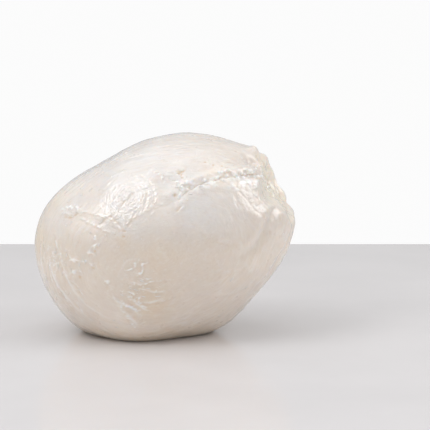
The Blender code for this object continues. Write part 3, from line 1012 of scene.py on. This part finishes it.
def stretched_curd_skin():
    """Skin of hand-stretched fresh cheese, wet with whey. Light sinks a millimetre or two into the milky
    curd and comes out warmer, so shadows are soft and cream-coloured. The whey film gives crisp glints on a
    satin sheen, which the fibres of the curd draw out into streaks. The colour also carries painted light
    and shade: warm shade low on the ball and in the relief's grooves, and paler light on its crests and in
    some patches."""
    material, tree, shader = new_material(
        "stretched_curd_skin_wet_with_whey",
        {
            "Subsurface Weight": 1.0,
            "Subsurface Radius": (1.0, 0.85, 0.70),
            "Subsurface Scale": 2.0 * MM,
            "IOR": 1.45,
            "Coat IOR": 1.70,
            "Coat Roughness": 0.11,
        },
    )
    place = add_node(tree, "ShaderNodeTexCoord").outputs["Object"]
    fibres = add_node(tree, "ShaderNodeAttribute", attribute_name="along_fibres").outputs["Vector"]
    rings = add_node(tree, "ShaderNodeAttribute", attribute_name="ring_place").outputs["Vector"]
    noises = {}
    for name, vector, size_mm, detail, distortion in (
        ("clouds", place, 14, 3, 0.0),
        ("veins", place, 4, 4, 1.5),
        ("bands", fibres, 5, 3, 0.4),
        ("streaks", fibres, 1.1, 2, 0.3),
        ("satin", place, 3, 3, 0.0),
        ("film", place, 6, 2, 0.0),
        ("pores", place, 0.6, 1, 0.0),
        ("threads", place, 1.1, 2, 0.6),
        ("rings", rings, 0.75, 1, 0.0),
    ):
        noise = add_node(
            tree,
            "ShaderNodeTexNoise",
            {"Vector": vector, "Scale": 1 / (size_mm * MM), "Detail": detail, "Distortion": distortion},
        )
        noises[name] = noise.outputs["Fac"]
    shares = {}
    for name in (
        "torn", "hollow", "pale_and_lit_lips", "crinkled", "painted_warm_shade_low", "neck_side", "creamy_and_painted_light", "yellowed_and_shaded", "ringed"
    ):
        shares[name] = add_node(tree, "ShaderNodeAttribute", attribute_name=name).outputs["Fac"]
    colour = lay_colours(
        tree,
        linear("#E7E3E0"),
        (
            (noises["clouds"], 0.35, 0.68, 1.0, "#E4DEDA"),
            (noises["bands"], 0.52, 0.70, 0.4, "#EAE2DA"),
            (shares["neck_side"], 0.0, 1.0, 0.6, "#E6DBD0"),
            # Painted warm shade over the lower side of the ball.
            (shares["painted_warm_shade_low"], 0.0, 1.0, 1.0, "#E9DED2"),
            # Paler, creamier patches: partly more opaque curd, partly painted light.
            (shares["creamy_and_painted_light"], 0.0, 1.0, 0.8, "#F6ECE2"),
            # Yellower and darker patches and foot: partly yellowed curd, partly painted warm shade.
            (shares["yellowed_and_shaded"], 0.0, 1.0, 0.8, "#E9D9C4"),
            (noises["veins"], 0.52, 0.72, 0.3, "#EDE7E0"),
            # The same streak noise bumps the skin: lighter on its crests and darker in its valleys, partly
            # the curd's streaky tone, partly painted glints and painted shade.
            (noises["streaks"], 0.53, 0.71, 0.24, "#F4F0EA"),
            (noises["streaks"], 0.46, 0.30, 0.16, "#D6C6B6"),
            # Painted shade: warm beige in the relief's grooves, holes and the scar's layers.
            (shares["hollow"], 0.0, 1.0, 0.8, "#E3CAA8"),
            # Crests of lip, ridge, blister, bead and thread painted near-white: partly paler curd, partly
            # painted highlight.
            (shares["pale_and_lit_lips"], 0.0, 0.9, 0.95, "#FBF9F6"),
            (shares["torn"], 0.0, 1.0, 0.8, "#F3EADD"),
        ),
    )
    tree.links.new(colour, shader.inputs["Base Color"])

    for noise, low, high, to_low, to_high, socket in (
        ("satin", 0.3, 0.7, 0.26, 0.42, "Roughness"),
        ("film", 0.35, 0.60, 0.60, 1.0, "Coat Weight"),
    ):
        share = add_node(
            tree,
            "ShaderNodeMapRange",
            {"Value": noises[noise], "From Min": low, "From Max": high, "To Min": to_low, "To Max": to_high},
        )
        tree.links.new(share.outputs[0], shader.inputs[socket])

    crinkle = add_node(
        tree, "ShaderNodeMapRange", {"Value": shares["crinkled"], "To Min": 0.2, "To Max": 1.0}
    ).outputs[0]
    under = {}
    for name, strength, depth_mm in (
        ("pores", crinkle, 0.08),
        ("threads", crinkle, 0.22),
        ("streaks", 0.35, 0.12),
        ("rings", shares["ringed"], 0.22),
    ):
        given = {"Height": noises[name], "Strength": strength, "Distance": depth_mm * MM} | under
        normal = add_node(tree, "ShaderNodeBump", given).outputs[0]
        under = {"Normal": normal}
    tree.links.new(normal, shader.inputs["Normal"])
    tree.links.new(normal, shader.inputs["Coat Normal"])
    return material


def clouded_material(name, values, base, clouds, size_mm, detail, low, high):
    """A material of one colour that clouds over softly with another."""
    material, tree, shader = new_material(name, values)
    place = add_node(tree, "ShaderNodeTexCoord").outputs["Object"]
    given = {"Vector": place, "Scale": 1 / (size_mm * MM), "Detail": detail}
    noise = add_node(tree, "ShaderNodeTexNoise", given).outputs["Fac"]
    colour = lay_colours(tree, linear(base), ((noise, low, high, 1.0, clouds),))
    tree.links.new(colour, shader.inputs["Base Color"])
    return material


def shreds_of_curd():
    """Loose shreds of the same curd, drawn thinner, so whiter and wetter than the skin they lie on."""
    wet = {"Roughness": 0.24, "IOR": 1.45, "Coat Weight": 1.0, "Coat Roughness": 0.06}
    return clouded_material("wet_shreds_of_curd", wet, "#EFEAE4", "#F6F3EF", 2, 2.0, 0.4, 0.6)


def milky_whey():
    """Beads of whey on the skin, milky from the fat in them: each shows a hard white glint."""
    glossy = {"Roughness": 0.08, "IOR": 1.35}
    return clouded_material("milky_whey_in_beads", glossy, "#F7F4F0", "#F2ECE4", 3, 1.0, 0.4, 0.6)


def honed_pale_slab():
    """Plain honed slab with a faint sheen, so that the ball's foot is softly mirrored in it."""
    return clouded_material("honed_pale_slab", {"Roughness": 0.14}, "#E0DDDE", "#E5E2E3", 60, 4.0, 0.3, 0.7)


def lit_white_cove():
    """White studio cove, evenly lit, that shows no shading of its own."""
    glowing = {
        "Base Color": (0, 0, 0, 1),
        "Specular IOR Level": 0.0,
        "Emission Color": (1, 1, 1, 1),
        "Emission Strength": COVE_RADIANCE,
    }
    material = new_material("lit_white_cove", glowing)[0]
    material.cycles.emission_sampling = "NONE"
    return material


# -----------------------------------------------------------------------------------------------------------
# Shreds and beads, scattered by one Geometry Nodes tree.


def scatter_tree(name, mask, material):
    """Small rounded bodies strewn over a skin as thickly as its mask says, flat on it, along its fibres."""
    tree = bpy.data.node_groups.new(name, "GeometryNodeTree")
    for socket, side, kind in (
        ("Geometry", "INPUT", "Geometry"),
        ("For each square metre", "INPUT", "Float"),
        ("Smallest", "INPUT", "Vector"),
        ("Largest", "INPUT", "Vector"),
        ("Seed", "INPUT", "Int"),
        ("Geometry", "OUTPUT", "Geometry"),
    ):
        tree.interface.new_socket(socket, in_out=side, socket_type="NodeSocket" + kind)
    given = add_node(tree, "NodeGroupInput").outputs
    masked = add_node(tree, "GeometryNodeInputNamedAttribute", {"Name": mask}, data_type="FLOAT")
    run = add_node(tree, "GeometryNodeInputNamedAttribute", {"Name": "fibre_run"}, data_type="FLOAT_VECTOR")
    thickly = add_node(
        tree,
        "ShaderNodeMath",
        {0: given["For each square metre"], 1: masked.outputs["Attribute"]},
        operation="MULTIPLY",
    )
    strewn = add_node(
        tree,
        "GeometryNodeDistributePointsOnFaces",
        {"Mesh": given["Geometry"], "Density": thickly.outputs[0], "Seed": given["Seed"]},
    )
    turned = add_node(
        tree,
        "FunctionNodeAxesToRotation",
        {"Primary Axis": strewn.outputs["Normal"], "Secondary Axis": run.outputs["Attribute"]},
        primary_axis="Z",
        secondary_axis="X",
    )
    sized = add_node(
        tree,
        "FunctionNodeRandomValue",
        {0: given["Smallest"], 1: given["Largest"], "Seed": given["Seed"]},
        data_type="FLOAT_VECTOR",
    )
    body = add_node(tree, "GeometryNodeMeshUVSphere", {"Segments": 8, "Rings": 5, "Radius": 0.5})
    placed = add_node(
        tree,
        "GeometryNodeInstanceOnPoints",
        {"Points": strewn.outputs["Points"], "Instance": body.outputs["Mesh"], "Rotation": turned.outputs[0],
         "Scale": sized.outputs[0]},
    )
    real = add_node(tree, "GeometryNodeRealizeInstances", {"Geometry": placed.outputs[0]})
    smooth = add_node(tree, "GeometryNodeSetShadeSmooth", {"Geometry": real.outputs[0]})
    coated = add_node(tree, "GeometryNodeSetMaterial", {"Geometry": smooth.outputs[0], "Material": material})
    add_node(tree, "NodeGroupOutput", {"Geometry": coated.outputs[0]})
    return tree


# What is strewn over the skin: its mask, material and number for each square metre, its smallest and largest
# length, width and height in mm, and a seed.
STREWN = (
    ("shreds_of_curd", "shredded", shreds_of_curd, 80000, (0.7, 0.22, 0.10), (2.4, 0.50, 0.26), 5),
    ("beads_of_whey", "beaded", milky_whey, 500000, (0.26, 0.26, 0.20), (0.60, 0.52, 0.44), 9),
)


def strew(skin, name, mask, make_material, density, smallest, largest, seed):
    """Strew one kind of small body over the skin, as a plain mesh object of its own."""
    tree = scatter_tree(name, mask, make_material())
    carrier = add_object(name + "_carrier", skin)
    modifier = carrier.modifiers.new("strew", "NODES")
    modifier.node_group = tree
    values = {
        "For each square metre": density,
        "Smallest": tuple(size * MM for size in smallest),
        "Largest": tuple(size * MM for size in largest),
        "Seed": seed,
    }
    for item in tree.interface.items_tree:
        if item.name in values:
            modifier[item.identifier] = values[item.name]
    ready = carrier.evaluated_get(bpy.context.evaluated_depsgraph_get())
    mesh = bpy.data.meshes.new_from_object(ready)
    mesh.name = name
    bpy.data.objects.remove(carrier)
    made = add_object(name, mesh)
    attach(made, "root")


# -----------------------------------------------------------------------------------------------------------
# Stage, lights and camera.

CAMERA_DISTANCE = 0.602
CAMERA_PITCH = np.radians(8.0)
LENS = 140.0
BALL_OFF_AXIS = (-18.0 * MM, -7.56 * MM)  # of the ball's centre from the middle of the view, right and up

SLAB_SIDE = 0.40
SLAB_THICKNESS = 0.012
SLAB_GAP = 0.02 * MM  # between the slab and the ball's foot
COVE_RADIUS = 12.0
COVE_WALL = 1.8
COVE_RADIANCE = 0.97  # of the white floor and its low wall

# The studio's wall before the ball and behind it, and its ceiling: how bright each is, and where one turns
# into the next, by the heading's depth and by its height.
FRONT_RADIANCE = 0.26
BACK_RADIANCE = 0.54
CEILING_RADIANCE = 0.58
FRONT_TO_BACK = (-0.3, 0.8)
WALL_TO_CEILING = (0.05, 0.8)

# Square softboxes aimed at the ball: azimuth, elevation, distance and size in metres, radiance.
SOFTBOXES = (
    ("overhead_softbox", 165, 79, 0.85, 0.80, 0.82),
    ("softbox_high_left", 211, 45, 0.80, 0.54, 1.38),
    ("lamp_in_the_softbox", 216, 48, 0.79, 0.25, 3.8),
    ("softbox_right", 350, 36, 0.80, 0.46, 2.6),
)


def add_object(name, data):
    """An object of this mesh, lamp or camera, in the scene."""
    made = bpy.data.objects.new(name, data)
    bpy.context.scene.collection.objects.link(made)
    return made


def make_stage():
    """A plain square slab under the ball, on the floor of a wide white cove with a low wall."""
    slab = bmesh.new()
    bmesh.ops.create_cube(slab, size=1.0)
    bmesh.ops.scale(slab, vec=(SLAB_SIDE, SLAB_SIDE, SLAB_THICKNESS), verts=slab.verts)
    bmesh.ops.translate(slab, vec=(0, 0, -SLAB_THICKNESS / 2 - SLAB_GAP), verts=slab.verts)
    cove = bmesh.new()
    bmesh.ops.create_cone(
        cove, cap_ends=True, segments=96, radius1=COVE_RADIUS, radius2=COVE_RADIUS, depth=COVE_WALL
    )
    lid = [face for face in cove.faces if face.normal.z > 0.9]
    bmesh.ops.delete(cove, geom=lid, context="FACES_ONLY")
    bmesh.ops.reverse_faces(cove, faces=cove.faces)
    bmesh.ops.translate(cove, vec=(0, 0, COVE_WALL / 2 - SLAB_THICKNESS), verts=cove.verts)
    for name, shape, material in (("slab", slab, honed_pale_slab()), ("white_cove", cove, lit_white_cove())):
        mesh = bpy.data.meshes.new(name)
        shape.to_mesh(mesh)
        shape.free()
        mesh.materials.append(material)
        made = add_object(name, mesh)
        made.visible_glossy = name != "white_cove"


def add_softbox(name, azimuth, elevation, distance, size, radiance):
    """A square softbox aimed at the ball. Its power follows from its size and the radiance of its face."""
    lamp = bpy.data.lights.new(name, "AREA")
    lamp.shape = "SQUARE"
    lamp.size = size
    lamp.energy = radiance * np.pi * size**2
    box = add_object(name, lamp)
    target = Vector((0, 0, CENTRE_HEIGHT))
    box.location = target + Vector(direction(azimuth, elevation)) * distance
    box.rotation_euler = (target - box.location).to_track_quat("-Z", "Y").to_euler()


def make_lights():
    """White studio walls, darker before the ball than behind it, a wide soft light overhead, a softbox on
    the right, and one high on the left with a hotter lamp in its middle, which gives the wet skin its
    sheen and its glints."""
    world = bpy.data.worlds.new("white_studio")
    bpy.context.scene.world = world
    world.use_nodes = True
    tree = world.node_tree
    heading = add_node(tree, "ShaderNodeTexCoord").outputs["Generated"]
    heading = add_node(tree, "ShaderNodeSeparateXYZ", {"Vector": heading}).outputs
    wall = add_node(
        tree,
        "ShaderNodeMapRange",
        {"Value": heading["Y"], "From Min": FRONT_TO_BACK[0], "From Max": FRONT_TO_BACK[1],
         "To Min": FRONT_RADIANCE, "To Max": BACK_RADIANCE},
    )
    radiance = add_node(
        tree,
        "ShaderNodeMapRange",
        {"Value": heading["Z"], "From Min": WALL_TO_CEILING[0], "From Max": WALL_TO_CEILING[1],
         "To Min": wall.outputs[0], "To Max": CEILING_RADIANCE},
    )
    tree.links.new(radiance.outputs[0], tree.nodes["Background"].inputs["Strength"])
    tree.nodes["Background"].inputs["Color"].default_value = (1.0, 1.0, 1.0, 1.0)
    for softbox in SOFTBOXES:
        add_softbox(*softbox)


def make_camera():
    """A long lens a little above the ball, which sits left of the middle of the view."""
    camera = add_object("camera", bpy.data.cameras.new("camera"))
    camera.data.lens = LENS
    camera.data.clip_start = 0.05
    ahead = Vector((0, np.cos(CAMERA_PITCH), -np.sin(CAMERA_PITCH)))
    up = Vector((0, np.sin(CAMERA_PITCH), np.cos(CAMERA_PITCH)))
    right = Vector((1, 0, 0))
    centre = Vector((0, 0, CENTRE_HEIGHT))
    camera.location = centre - ahead * CAMERA_DISTANCE - right * BALL_OFF_AXIS[0] - up * BALL_OFF_AXIS[1]
    camera.rotation_euler = (np.pi / 2 - CAMERA_PITCH, 0, 0)
    bpy.context.scene.camera = camera


def make_ball():
    """The ball itself, in place of the solid."""
    mesh = ball_mesh()
    mesh.materials.append(stretched_curd_skin())
    ball = add_object("ball_of_curd", mesh)
    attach(ball, "root")
    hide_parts(NODE)
    return ball


bpy.context.scene.view_settings.view_transform = "Standard"
make_camera()
make_lights()
make_stage()
ball = make_ball()
for strewn in STREWN:
    strew(ball.data, *strewn)
